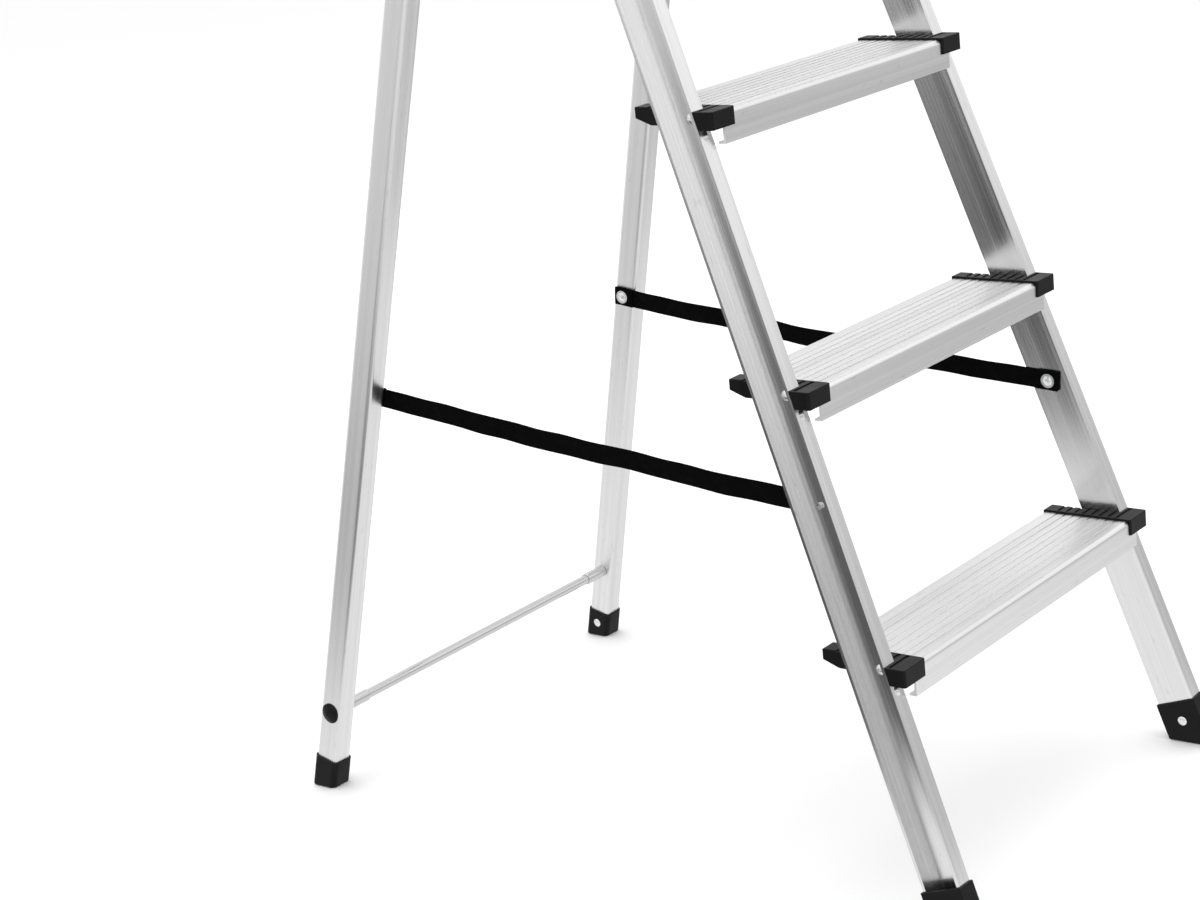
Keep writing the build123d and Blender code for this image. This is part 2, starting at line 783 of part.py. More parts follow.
# ---- Webbing straps: flat bands in two lengths that meet at the fold, with doubled ends
def strap_band(start, end, fold_start, holes):
    """Flat band between two stations of the strap, with a doubled layer at its riveted end."""
    with BuildPart() as band:
        with BuildSketch(strap_plane.offset(strap_gap)):
            with Locations(((start + end) / 2, 0)):
                Rectangle(end - start, strap_width)
        extrude(amount=strap_wall)
        with BuildSketch(strap_plane.offset(strap_gap + strap_wall)):
            with Locations((fold_start + strap_fold / 2, 0)):
                Rectangle(strap_fold, strap_width)
        extrude(amount=strap_wall)
        with Locations(*[across(strap_plane.from_local_coords((hole, 0, 0))) for hole in holes]):
            Cylinder(rivet_radius + strap_hole_slack, 8 * strap_wall, mode=Mode.SUBTRACT)
    return band.part


strap_fold_station = strap_length * (1 - strap_rear_share)
right_strap_front = strap_band(-strap_tail, strap_fold_station - strap_gap / 2, -strap_tail, [0])
right_strap_rear = strap_band(
    strap_fold_station + strap_gap / 2, strap_length + strap_tail,
    strap_length + strap_tail - strap_fold, [strap_length],
)
write_node(right_strap_front, "right_strap_front")
write_node(left_of(right_strap_front), "left_strap_front")
write_node(right_strap_rear, "right_strap_rear")
write_node(left_of(right_strap_rear), "left_strap_rear")


# ---- Strap rivets and washers
def strap_fixing(station, wall, clearance):
    """Rivet and washer at one end of the right strap, as two separate solids."""
    seat = strap_fastener(station)
    grip = washer_wall + 2 * strap_wall + strap_gap + wall + clearance + side_flare * washer_radius
    with BuildPart() as washer:
        with BuildSketch(seat.offset(-washer_wall)):
            Circle(washer_radius)
            Circle(rivet_radius, mode=Mode.SUBTRACT)
        extrude(amount=washer_wall)
    with BuildPart() as pin:
        with Locations(seat):
            add(rivet(grip, rivet_radius, strap_head_radius, rivet_head_rise))
    return pin.part, washer.part


front_rivet, front_washer = strap_fixing(0, stile_wall, fit)
rear_rivet, rear_washer = strap_fixing(strap_length, leg_wall, leg_inset_gap + fit)
write_node(both_sides(front_rivet), "strap_front_rivets")
write_node(both_sides(front_washer), "strap_front_washers")
write_node(both_sides(rear_rivet), "strap_rear_rivets")
write_node(both_sides(rear_washer), "strap_rear_washers")


# ---- Platform deck: a deep grooved plate with skirts front and back
platform_grooves = 22
platform_back_y = platform_front_y + platform_depth
with BuildPart() as platform_deck:
    profile = tread_profile(
        platform_front_y, platform_height, platform_depth, platform_skirt, platform_skirt, platform_grooves
    )
    extrude(profile, amount=platform_half_width - platform_cap_wall - fit, both=True)
write_node(platform_deck.part, "platform_deck")


# ---- Platform caps: shells over the deck's ends, with a thick side for the pivot
def platform_cap():
    """Right-hand cap of the platform."""
    low = platform_height + cap_wall - platform_cap_height
    front = platform_front_y - cap_wall
    back = platform_back_y + cap_wall
    inner = platform_half_width - cap_grip - platform_cap_wall
    with BuildPart() as cap:
        with BuildSketch(Plane.XY.offset(low)) as outline:
            Polygon(
                (inner, front), (platform_half_width, front), (platform_half_width, back), (inner, back),
                align=None,
            )
            ends = [(platform_half_width, front), (platform_half_width, back)]
            rounded = [corner_of(outline, point) for point in ends]
            fillet(rounded, cap_corner)
        extrude(amount=platform_cap_height)
        fillet(cap.faces().sort_by(Axis.Z)[-1].edges(), edge_round)
        hollow_length = platform_half_width - platform_cap_wall - inner + overrun
        hollow_low = low - overrun
        hollow_high = platform_height + fit
        with Locations(
            (
                inner - overrun + hollow_length / 2,
                (platform_front_y + platform_back_y) / 2,
                (hollow_low + hollow_high) / 2,
            )
        ):
            Box(hollow_length, platform_depth + 2 * fit, hollow_high - hollow_low, mode=Mode.SUBTRACT)
        with Locations(across((platform_half_width, platform_pin_y, platform_pin_height))):
            Cylinder(platform_pin_radius + pin_fit, 6 * platform_cap_wall, mode=Mode.SUBTRACT)
    return cap.part


right_platform_cap = platform_cap()
write_node(right_platform_cap, "right_platform_cap")
write_node(left_of(right_platform_cap), "left_platform_cap")


# ---- Platform pins: shouldered pins through the stiles' webs
with BuildPart() as platform_pins:
    web_face = platform_pin_point.X
    shoulder_start = platform_half_width + hinge_slack
    shoulder_end = web_face - side_flare * platform_shoulder_radius - fit
    tip = platform_half_width - platform_cap_wall - overrun
    head_start = web_face + stile_wall + side_flare * hinge_head_radius + fit
    for start, end, radius in (
        (tip, head_start, platform_pin_radius),
        (shoulder_start, shoulder_end, platform_shoulder_radius),
        (head_start, head_start + hinge_head_wall, hinge_head_radius),
    ):
        with Locations(across((start, platform_pin_y, platform_pin_height))):
            Cylinder(radius, end - start, align=(Align.CENTER, Align.CENTER, Align.MIN))
write_node(both_sides(platform_pins.part), "platform_pins")


# ---- Platform hooks: saddles under the deck that sit on the upper tie bar
bar_y = leg_y(upper_bar_height)
with BuildPart() as platform_hooks:
    hook_top = platform_height - tread_plate
    with BuildSketch(Plane.YZ.offset(platform_hook_x - platform_hook_width / 2)):
        hook_low = upper_bar_height - upper_bar_radius * hook_drop_share
        hook_front = bar_y - upper_bar_radius * hook_front_share
        hook_back = bar_y + upper_bar_radius * hook_back_share
        Polygon(
            (hook_front, hook_top), (hook_back, hook_top), (hook_back, hook_low + hook_chamfer),
            (hook_back - hook_chamfer, hook_low), (hook_front, hook_low), align=None,
        )
        with BuildSketch(mode=Mode.PRIVATE) as bar_slot:
            exits = [(bar_y, upper_bar_height), (bar_y - hook_exit_back, upper_bar_height - hook_exit_drop)]
            with Locations(*exits):
                Circle(upper_bar_radius + strap_gap)
            make_hull()
        add(bar_slot.sketch, mode=Mode.SUBTRACT)
    extrude(amount=platform_hook_width)
write_node(both_sides(platform_hooks.part), "platform_hooks")


# ---- Top tray: moulding over the stile tops with a shallow tool recess
with BuildPart() as stile_socket:
    add(stile_solid(tray_low - stile_depth, stile_top_height + stile_depth, fit))
    split(bisect_by=Plane.XY.offset(stile_top_height + fit), keep=Keep.BOTTOM)

tray_y = stile_y(stile_top_height - tray_grip / 2)
tray_top = tray_low + tray_height
tray_hollow_half = web_x(stile_top_height) - 2 * tray_wall
with BuildPart() as top_tray:
    with BuildSketch(Plane.XY.offset(tray_low)):
        with Locations((0, tray_y)):
            RectangleRounded(2 * tray_half_length, tray_width, tray_corner)
    extrude(amount=tray_height)
    fillet(top_tray.faces().sort_by(Axis.Z)[-1].edges(), tray_edge_round)
    fillet(top_tray.faces().sort_by(Axis.Z)[0].edges(), tray_edge_round)
    with BuildSketch(Plane.XY.offset(tray_top - tray_recess)):
        with Locations((0, tray_y)):
            RectangleRounded(
                2 * (tray_half_length - tray_wall), tray_width - 2 * tray_wall, tray_corner - tray_wall
            )
    extrude(amount=tray_recess, mode=Mode.SUBTRACT)
    with BuildSketch(Plane.XY.offset(tray_low)):
        with Locations((0, tray_y)):
            RectangleRounded(2 * tray_hollow_half, tray_width - 2 * tray_wall, tray_corner / 2)
    extrude(amount=tray_height - tray_recess - tray_wall, mode=Mode.SUBTRACT)
    add(stile_socket.part, mode=Mode.SUBTRACT)
    mirror(top_tray.part, about=Plane.YZ, mode=Mode.INTERSECT)
    with Locations(*tray_screw_planes()):
        Cylinder(rivet_radius, 4 * tray_half_length, mode=Mode.SUBTRACT)
write_node(top_tray.part, "top_tray")


# ---- Tray screws: two through each side block into the hollow
with BuildPart() as tray_screws:
    with Locations(*tray_screw_planes()):
        add(rivet(tray_half_length - tray_hollow_half, rivet_radius, rivet_head_radius, rivet_head_rise))
write_node(both_sides(tray_screws.part), "tray_screws")
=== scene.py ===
# %% [markdown]
# # A folding step ladder
# This file dresses a measured ladder in its real finishes: drawn aluminium tubes, grooved treads, moulded
# black plastic, zinc-plated bars, pressed rivets and two woven limiter straps. The measured model is loaded
# first and is never changed. New pieces are only made where a measured solid is a stand-in, as for the straps.
# Everything is in metres, with Z up, and the climbing side faces -Y.

# %% Load the measured ladder
import json

import bpy
import numpy as np
from mathutils import Matrix, Vector


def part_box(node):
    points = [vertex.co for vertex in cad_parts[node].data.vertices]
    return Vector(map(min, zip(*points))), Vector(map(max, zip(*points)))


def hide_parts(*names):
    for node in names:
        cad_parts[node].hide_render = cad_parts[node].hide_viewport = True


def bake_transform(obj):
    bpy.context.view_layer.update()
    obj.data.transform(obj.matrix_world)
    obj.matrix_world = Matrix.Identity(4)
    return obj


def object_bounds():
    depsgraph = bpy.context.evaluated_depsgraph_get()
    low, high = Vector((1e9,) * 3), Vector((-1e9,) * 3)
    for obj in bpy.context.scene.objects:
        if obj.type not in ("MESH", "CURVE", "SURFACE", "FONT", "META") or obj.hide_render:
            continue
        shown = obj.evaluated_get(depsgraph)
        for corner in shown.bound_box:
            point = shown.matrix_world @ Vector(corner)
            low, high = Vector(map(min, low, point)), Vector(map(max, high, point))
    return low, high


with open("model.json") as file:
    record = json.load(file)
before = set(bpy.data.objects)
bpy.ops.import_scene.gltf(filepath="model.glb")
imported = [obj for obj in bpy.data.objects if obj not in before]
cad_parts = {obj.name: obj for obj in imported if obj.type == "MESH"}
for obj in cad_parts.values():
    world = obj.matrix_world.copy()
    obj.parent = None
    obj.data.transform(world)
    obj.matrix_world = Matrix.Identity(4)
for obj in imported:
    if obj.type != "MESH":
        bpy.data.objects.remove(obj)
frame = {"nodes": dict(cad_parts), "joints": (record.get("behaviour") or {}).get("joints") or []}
cad_low, cad_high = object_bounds()
nodes = frame["nodes"]
joints = {joint["name"]: joint for joint in frame["joints"]}
print("measured ladder:", len(nodes), "pieces, height", round(cad_high[2] - cad_low[2], 3), "m")

# %% [markdown]
# ## Leans
# A drawn tube has faint lines along its length, so its finish has to know which way the tube runs. The two
# frames lean in opposite ways, and both narrow slightly towards the top. The directions are worked out from
# the shapes of the four tubes, so they stay right if the ladder's sizes change.


# %% Find the directions of the tubes
def long_direction(name):
    """Unit vector along a straight piece: the first principal axis of its points, made to point up."""
    mesh = nodes[name].data
    points = np.empty(len(mesh.vertices) * 3)
    mesh.vertices.foreach_get("co", points)
    points = points.reshape(-1, 3)
    spread = (points - points.mean(0)).T @ (points - points.mean(0))
    axis = np.linalg.eigh(spread)[1][:, -1]
    return axis * np.sign(axis[2])


TUBES = ("left_stile", "right_stile", "left_rear_leg", "right_rear_leg")
directions = {name: long_direction(name) for name in TUBES}
for name, axis in directions.items():
    print(name, "runs along", axis.round(4))

# %% [markdown]
# ## Node helpers
# A finish is a small graph of shader nodes. Writing each link by hand is long and hides the idea, so these
# helpers add a node with its settings, and open a new shader group with named sockets. Patterns that several
# finishes share are groups, and each finish places the group with its own values.


# %% Helpers for nodes and groups
def add_node(tree, kind, links=None, **settings):
    """A node of this kind: settings are its properties, links gives each input a value or a source socket."""
    node = tree.nodes.new(kind)
    for key, value in settings.items():
        setattr(node, key, value)
    for key, value in (links or {}).items():
        if isinstance(value, bpy.types.NodeSocket):
            tree.links.new(value, node.inputs[key])
        else:
            node.inputs[key].default_value = value
    return node


def math(tree, operation, first, second=0.0, clamp=False):
    """Result socket of a math node with one or two inputs."""
    node = add_node(tree, "ShaderNodeMath", {0: first, 1: second}, operation=operation, use_clamp=clamp)
    return node.outputs[0]


def remap(tree, value, from_low, from_high, to_low, to_high):
    """Result socket of a clamped linear remap."""
    links = {"Value": value, "From Min": from_low, "From Max": from_high, "To Min": to_low, "To Max": to_high}
    return add_node(tree, "ShaderNodeMapRange", links).outputs["Result"]


def mix_colour(tree, factor, first, second, blend="MIX"):
    """Result socket of a colour mix."""
    node = add_node(tree, "ShaderNodeMix", data_type="RGBA", blend_type=blend)
    for index, value in ((0, factor), (6, first), (7, second)):
        if isinstance(value, bpy.types.NodeSocket):
            tree.links.new(value, node.inputs[index])
        else:
            node.inputs[index].default_value = value
    return node.outputs[2]


def open_group(name, inputs, outputs):
    """An empty shader group with named input and output sockets, and its two end nodes."""
    group = bpy.data.node_groups.new(name, "ShaderNodeTree")
    for label, kind, default in inputs:
        socket = group.interface.new_socket(label, in_out="INPUT", socket_type=kind)
        if default is not None:
            socket.default_value = default
    for label, kind in outputs:
        group.interface.new_socket(label, in_out="OUTPUT", socket_type=kind)
    return group, group.nodes.new("NodeGroupInput"), group.nodes.new("NodeGroupOutput")


FLOAT, VECTOR = "NodeSocketFloat", "NodeSocketVector"

# %% [markdown]
# ## Drawn metal
# An aluminium profile is pushed through a die, which leaves fine straight lines along it and broader bands of
# slightly different shine. The group turns the space so that its Z runs along the profile, and squeezes noise
# across that direction. Cross scratches from handling are a second, sparser noise. It puts out masks only,
# and each finish decides how strongly to use them.


# %% Group: die lines, bands and handling marks
def build_drawn_lines():
    """Lines: noise stretched 400 to 1 along Z. Bands: the same, six times broader. Marks: short dashes."""
    along_scale, band_scale, dash_across, dash_along = 2.2, 0.16, 0.35, 60.0
    group, start, end = open_group(
        "Drawn lines",
        [("Vector", VECTOR, None), ("Turn", VECTOR, (0.0, 0.0, 0.0)), ("Fineness", FLOAT, 900.0)],
        [("Lines", FLOAT), ("Bands", FLOAT), ("Marks", FLOAT)],
    )
    turned = add_node(
        group, "ShaderNodeVectorRotate",
        {"Vector": start.outputs["Vector"], "Rotation": start.outputs["Turn"]}, rotation_type="EULER_XYZ",
    )
    split = add_node(group, "ShaderNodeSeparateXYZ", {0: turned.outputs[0]})
    across_x = math(group, "MULTIPLY", split.outputs[0], start.outputs["Fineness"])
    across_y = math(group, "MULTIPLY", split.outputs[1], start.outputs["Fineness"])
    along = math(group, "MULTIPLY", split.outputs[2], along_scale)
    stretched = add_node(group, "ShaderNodeCombineXYZ", {0: across_x, 1: across_y, 2: along})
    place = stretched.outputs[0]
    lines = add_node(group, "ShaderNodeTexNoise", {"Vector": place, "Scale": 1.0, "Detail": 3.0})
    bands = add_node(group, "ShaderNodeTexNoise", {"Vector": place, "Scale": band_scale, "Detail": 1.5})
    dash = add_node(
        group, "ShaderNodeCombineXYZ",
        {0: math(group, "MULTIPLY", across_x, dash_across), 1: math(group, "MULTIPLY", across_y, dash_across),
         2: math(group, "MULTIPLY", split.outputs[2], dash_along)},
    )
    marks = add_node(group, "ShaderNodeTexNoise", {"Vector": dash.outputs[0], "Scale": 1.0, "Detail": 2.0})
    group.links.new(lines.outputs["Fac"], end.inputs["Lines"])
    group.links.new(bands.outputs["Fac"], end.inputs["Bands"])
    group.links.new(remap(group, marks.outputs["Fac"], 0.66, 0.74, 0.0, 1.0), end.inputs["Marks"])
    return group


DRAWN_LINES = build_drawn_lines()
print("group", DRAWN_LINES.name, "has", len(DRAWN_LINES.nodes), "nodes")

# %% [markdown]
# ## Worn edges
# Corners are touched most, so they are polished on metal and slightly grey on plastic. A Bevel node gives the
# normal of a rounded corner; where it differs from the true normal there is an edge. Broken up by noise, this
# becomes a mask of worn edges.


# %% Group: worn edges
def build_edge_wear():
    """Mask: one minus the dot product of the bevelled and the true normal, scaled, times a noise threshold."""
    group, start, end = open_group(
        "Edge wear",
        [("Vector", VECTOR, None), ("Radius", FLOAT, 0.0008), ("Patchiness", FLOAT, 60.0)],
        [("Mask", FLOAT)],
    )
    bevel = add_node(group, "ShaderNodeBevel", {"Radius": start.outputs["Radius"]}, samples=4)
    true = group.nodes.new("ShaderNodeNewGeometry")
    dot = add_node(
        group, "ShaderNodeVectorMath", {0: bevel.outputs[0], 1: true.outputs["Normal"]},
        operation="DOT_PRODUCT",
    )
    edge = remap(group, dot.outputs["Value"], 0.99, 0.80, 0.0, 1.0)
    patches = add_node(
        group, "ShaderNodeTexNoise",
        {"Vector": start.outputs["Vector"], "Scale": start.outputs["Patchiness"], "Detail": 4.0},
    )
    broken = remap(group, patches.outputs["Fac"], 0.35, 0.65, 0.25, 1.0)
    group.links.new(math(group, "MULTIPLY", edge, broken, clamp=True), end.inputs["Mask"])
    return group


EDGE_WEAR = build_edge_wear()

# %% [markdown]
# ## Moulded grain
# The black parts are injection moulded in a tool with a fine spark texture, and they carry a little dust and
# some faint flow marks. One group gives the grain's height, cloudy blotches and a dust mask that is stronger
# on faces that look up.


# %% Group: moulded grain and dust
def build_moulded_grain():
    """Grain: fine cellular noise. Blotches: slow noise. Dust: upward part of the normal times fine noise."""
    group, start, end = open_group(
        "Moulded grain",
        [("Vector", VECTOR, None), ("Grain size", FLOAT, 1800.0)],
        [("Grain", FLOAT), ("Blotches", FLOAT), ("Dust", FLOAT)],
    )
    fine = add_node(
        group, "ShaderNodeTexVoronoi",
        {"Vector": start.outputs["Vector"], "Scale": start.outputs["Grain size"]}, feature="SMOOTH_F1",
    )
    place = start.outputs["Vector"]
    slow = add_node(group, "ShaderNodeTexNoise", {"Vector": place, "Scale": 45.0, "Detail": 4.0})
    specks = add_node(group, "ShaderNodeTexNoise", {"Vector": place, "Scale": 900.0, "Detail": 3.0})
    geometry = group.nodes.new("ShaderNodeNewGeometry")
    facing = add_node(group, "ShaderNodeSeparateXYZ", {0: geometry.outputs["Normal"]})
    upward = remap(group, facing.outputs[2], 0.3, 1.0, 0.0, 1.0)
    dust = math(group, "MULTIPLY", upward, remap(group, specks.outputs["Fac"], 0.52, 0.72, 0.0, 1.0))
    group.links.new(fine.outputs["Distance"], end.inputs["Grain"])
    group.links.new(slow.outputs["Fac"], end.inputs["Blotches"])
    group.links.new(dust, end.inputs["Dust"])
    return group


MOULDED_GRAIN = build_moulded_grain()

# %% [markdown]
# ## Woven webbing
# The straps are flat polyester webbing: warp threads run along the strap in ribs, and a weft thread passes
# over and under them. The pattern is drawn on the strap's own UV map, in which U runs along the strap and V
# across it, both in millimetres, so the weave bends with the strap and has its true size.


# %% Group: webbing weave
def build_weave():
    """Height: product of rounded warp ribs and a checker of over and under crossings. Shade: slow fading."""
    group, start, end = open_group(
        "Webbing weave",
        [("UV", VECTOR, None), ("Rib pitch", FLOAT, 1.1), ("Weft pitch", FLOAT, 1.5)],
        [("Height", FLOAT), ("Shade", FLOAT), ("Fuzz", FLOAT)],
    )
    split = add_node(group, "ShaderNodeSeparateXYZ", {0: start.outputs["UV"]})
    rib_turn = math(group, "DIVIDE", split.outputs[1], start.outputs["Rib pitch"])
    weft_turn = math(group, "DIVIDE", split.outputs[0], start.outputs["Weft pitch"])
    shift = math(group, "MULTIPLY", math(group, "FLOOR", rib_turn), 0.5)
    rib = math(group, "PINGPONG", rib_turn, 0.5)
    crossing = math(group, "PINGPONG", math(group, "ADD", weft_turn, shift), 0.5)
    rib_round = math(group, "POWER", math(group, "MULTIPLY", rib, 2.0), 0.6)
    crossing_round = math(group, "POWER", math(group, "MULTIPLY", crossing, 2.0), 0.8)
    crossing_share = 0.6
    crossing_part = math(group, "MULTIPLY", crossing_round, crossing_share)
    height = math(group, "MULTIPLY", rib_round, math(group, "ADD", crossing_part, 1.0 - crossing_share))
    place = start.outputs["UV"]
    fading = add_node(group, "ShaderNodeTexNoise", {"Vector": place, "Scale": 0.12, "Detail": 3.0})
    fuzz = add_node(group, "ShaderNodeTexNoise", {"Vector": place, "Scale": 6.0, "Detail": 5.0})
    group.links.new(height, end.inputs["Height"])
    group.links.new(fading.outputs["Fac"], end.inputs["Shade"])
    group.links.new(fuzz.outputs["Fac"], end.inputs["Fuzz"])
    return group


WEAVE = build_weave()

# %% [markdown]
# ## Finishes
# Each finish is one material around a Principled shader. Metals get their colour and roughness from the die
# lines, plastics from the moulded grain, and the webbing from the weave. Small values that are the same all
# over a surface are set on the shader itself.


# %% Start a material and place groups in it
def open_material(name, **constants):
    """A node material with only a Principled shader and an output, with these constants on the shader."""
    material = bpy.data.materials.new(name)
    material.use_nodes = True
    tree = material.node_tree
    tree.nodes.clear()
    shader = tree.nodes.new("ShaderNodeBsdfPrincipled")
    output = tree.nodes.new("ShaderNodeOutputMaterial")
    tree.links.new(shader.outputs[0], output.inputs["Surface"])
    for label, value in constants.items():
        shader.inputs[label.replace("_", " ")].default_value = value
    return material, tree, shader


def place_group(tree, group, links):
    """A group node in a material, with these inputs."""
    node = add_node(tree, "ShaderNodeGroup")
    node.node_tree = group
    for key, value in links.items():
        if isinstance(value, bpy.types.NodeSocket):
            tree.links.new(value, node.inputs[key])
        else:
            node.inputs[key].default_value = value
    return node


def bump(tree, shader, height, strength, distance):
    """Feeds a height into the shader's normal."""
    node = add_node(tree, "ShaderNodeBump", {"Height": height, "Strength": strength, "Distance": distance})
    tree.links.new(node.outputs[0], shader.inputs["Normal"])


def grey(value):
    """A neutral colour."""
    return (value, value, value, 1.0)


# %% Metal finishes
def drawn_metal(name, direction, tone, roughness, fineness=900.0, line_depth=0.12):
    """Drawn metal whose lines run along a direction; tone and roughness give their two ends."""
    material, tree, shader = open_material(name, Metallic=1.0)
    place = tree.nodes.new("ShaderNodeTexCoord").outputs["Object"]
    turn = Vector(direction).rotation_difference(Vector((0.0, 0.0, 1.0))).to_euler("XYZ")
    drawn = place_group(tree, DRAWN_LINES, {"Vector": place, "Turn": tuple(turn), "Fineness": fineness})
    wear = place_group(tree, EDGE_WEAR, {"Vector": place})
    lines, bands, marks = (drawn.outputs[label] for label in ("Lines", "Bands", "Marks"))
    line_share, mark_strength, wear_strength, wear_lift = 0.45, 0.35, 0.6, 0.08
    dull = math(
        tree, "ADD", math(tree, "MULTIPLY", lines, line_share), math(tree, "MULTIPLY", bands, 1.0 - line_share)
    )
    spread = remap(tree, dull, 0.3, 0.7, 0.0, 1.0)
    colour = mix_colour(tree, spread, grey(tone[0]), grey(tone[1]))
    colour = mix_colour(tree, math(tree, "MULTIPLY", marks, mark_strength), colour, grey(tone[0] * 0.8))
    worn = math(tree, "MULTIPLY", wear.outputs["Mask"], wear_strength)
    colour = mix_colour(tree, worn, colour, grey(min(tone[1] + wear_lift, 1.0)))
    rough = remap(tree, dull, 0.3, 0.7, roughness[0], roughness[1])
    rough = math(tree, "SUBTRACT", rough, math(tree, "MULTIPLY", wear.outputs["Mask"], wear_lift), clamp=True)
    tree.links.new(colour, shader.inputs["Base Color"])
    tree.links.new(rough, shader.inputs["Roughness"])
    bump(tree, shader, math(tree, "ADD", lines, math(tree, "MULTIPLY", marks, -0.3)), line_depth, 0.0002)
    return material


def pressed_metal(name, tone, roughness, blotch_scale=260.0):
    """Small pressed or plated parts: cloudy colour, fine pitting and polished edges."""
    material, tree, shader = open_material(name, Metallic=1.0)
    place = tree.nodes.new("ShaderNodeTexCoord").outputs["Object"]
    clouds = add_node(tree, "ShaderNodeTexNoise", {"Vector": place, "Scale": blotch_scale, "Detail": 4.0})
    pits = add_node(tree, "ShaderNodeTexNoise", {"Vector": place, "Scale": 2600.0, "Detail": 2.0})
    wear = place_group(tree, EDGE_WEAR, {"Vector": place, "Radius": 0.0004, "Patchiness": 300.0})
    spread = remap(tree, clouds.outputs["Fac"], 0.35, 0.65, 0.0, 1.0)
    colour = mix_colour(tree, spread, (*tone[0], 1.0), (*tone[1], 1.0))
    colour = mix_colour(tree, math(tree, "MULTIPLY", wear.outputs["Mask"], 0.5), colour, grey(0.92))
    tree.links.new(colour, shader.inputs["Base Color"])
    tree.links.new(remap(tree, spread, 0.0, 1.0, roughness[0], roughness[1]), shader.inputs["Roughness"])
    bump(tree, shader, pits.outputs["Fac"], 0.12, 0.0001)
    return material


# %% Plastic and webbing finishes
def moulded_plastic(name, colour, roughness, grain=1800.0):
    """Black moulded plastic with spark grain, faint blotches, grey worn edges and a little dust on top."""
    material, tree, shader = open_material(name, IOR=1.46, Specular_IOR_Level=0.14)
    place = tree.nodes.new("ShaderNodeTexCoord").outputs["Object"]
    mould = place_group(tree, MOULDED_GRAIN, {"Vector": place, "Grain size": grain})
    wear = place_group(tree, EDGE_WEAR, {"Vector": place, "Radius": 0.0006, "Patchiness": 140.0})
    blotch = remap(tree, mould.outputs["Blotches"], 0.35, 0.65, 0.0, 1.0)
    base = mix_colour(tree, blotch, (*colour, 1.0), (*(value * 1.5 for value in colour), 1.0))
    base = mix_colour(tree, math(tree, "MULTIPLY", wear.outputs["Mask"], 0.35), base, grey(0.05))
    base = mix_colour(tree, math(tree, "MULTIPLY", mould.outputs["Dust"], 0.05), base, grey(0.25))
    tree.links.new(base, shader.inputs["Base Color"])
    tree.links.new(remap(tree, blotch, 0.0, 1.0, roughness[0], roughness[1]), shader.inputs["Roughness"])
    bump(tree, shader, mould.outputs["Grain"], 0.22, 0.00012)
    return material


def webbing_finish(name):
    """Black woven polyester on the strap's UV map, with painted shade darkening the grooves of the weave."""
    material, tree, shader = open_material(name, Specular_IOR_Level=0.03)
    uv = tree.nodes.new("ShaderNodeUVMap")
    uv.uv_map = "strap"
    weave = place_group(tree, WEAVE, {"UV": uv.outputs[0]})
    # Painted shade: the low parts of the weave get the darker thread colour, and the raised crossings get the
    # lighter one.
    thread_with_painted_groove_shade = mix_colour(tree, weave.outputs["Height"], grey(0.0008), grey(0.0035))
    thread_with_painted_groove_shade = mix_colour(
        tree, remap(tree, weave.outputs["Shade"], 0.45, 0.7, 0.0, 0.35), thread_with_painted_groove_shade, (0.0055, 0.0055, 0.006, 1.0)
    )
    tree.links.new(thread_with_painted_groove_shade, shader.inputs["Base Color"])
    tree.links.new(remap(tree, weave.outputs["Fuzz"], 0.3, 0.7, 0.72, 0.95), shader.inputs["Roughness"])
    relief = math(tree, "ADD", weave.outputs["Height"], math(tree, "MULTIPLY", weave.outputs["Fuzz"], 0.25))
    bump(tree, shader, relief, 0.7, 0.0004)
    return material


# %% Make the finishes and give them to the measured pieces
BAR = (1.0, 0.0, 0.0)
FRAME_TONE, STILE_ROUGHNESS, LEG_ROUGHNESS = (0.70, 0.86), (0.15, 0.27), (0.28, 0.40)
CAP_BLACK, TRAY_BLACK, BUSH_GREY = (0.0045, 0.0045, 0.0045), (0.006, 0.006, 0.0065), (0.030, 0.030, 0.032)
PLATE_TONE, RIVET_TONE = ((0.62, 0.64, 0.66), (0.76, 0.77, 0.77)), ((0.74, 0.74, 0.75), (0.88, 0.88, 0.88))
finishes = {
    name: drawn_metal(
        name + " drawn aluminium", axis, FRAME_TONE, LEG_ROUGHNESS if name.endswith("_leg") else STILE_ROUGHNESS
    )
    for name, axis in directions.items()
}
tread_finish = drawn_metal("tread satin aluminium", BAR, (0.72, 0.90), (0.28, 0.42), 700.0, 0.10)
bar_finish = drawn_metal("zinc plated tube", BAR, (0.50, 0.68), (0.05, 0.12), 500.0, 0.05)
plate_finish = pressed_metal("zinc plated plate", PLATE_TONE, (0.22, 0.36), 120.0)
rivet_finish = pressed_metal("bright rivet", RIVET_TONE, (0.18, 0.34))
cap_finish = moulded_plastic("black moulded cap", CAP_BLACK, (0.36, 0.46))
foot_finish = moulded_plastic("black foot rubber", CAP_BLACK, (0.42, 0.55), 1300.0)
tray_finish = moulded_plastic("black tray moulding", TRAY_BLACK, (0.42, 0.54), 1100.0)
bush_finish = moulded_plastic("grey bush", BUSH_GREY, (0.40, 0.50))
strap_finish = webbing_finish("black webbing")

for name, node in nodes.items():
    if name in finishes:
        finish = finishes[name]
    elif name.endswith("_cap") or name in ("bar_plugs", "platform_hooks") or "hinge_cover" in name:
        finish = cap_finish
    elif name.endswith("_foot"):
        finish = foot_finish
    elif name == "top_tray":
        finish = tray_finish
    elif name.endswith("_bush"):
        finish = bush_finish
    elif name.startswith("tread_") and not name.endswith("rivets") or name == "platform_deck":
        finish = tread_finish
    elif name.endswith("tie_bar"):
        finish = bar_finish
    elif name.endswith("rivets"):
        finish = rivet_finish
    elif "_strap_" in name:
        finish = strap_finish
    else:
        finish = plate_finish
    if not node.data.materials:
        node.data.materials.append(finish)
    for index in range(len(node.material_slots)):
        node.material_slots[index].material = finish
print("finishes given to", len(nodes), "pieces")

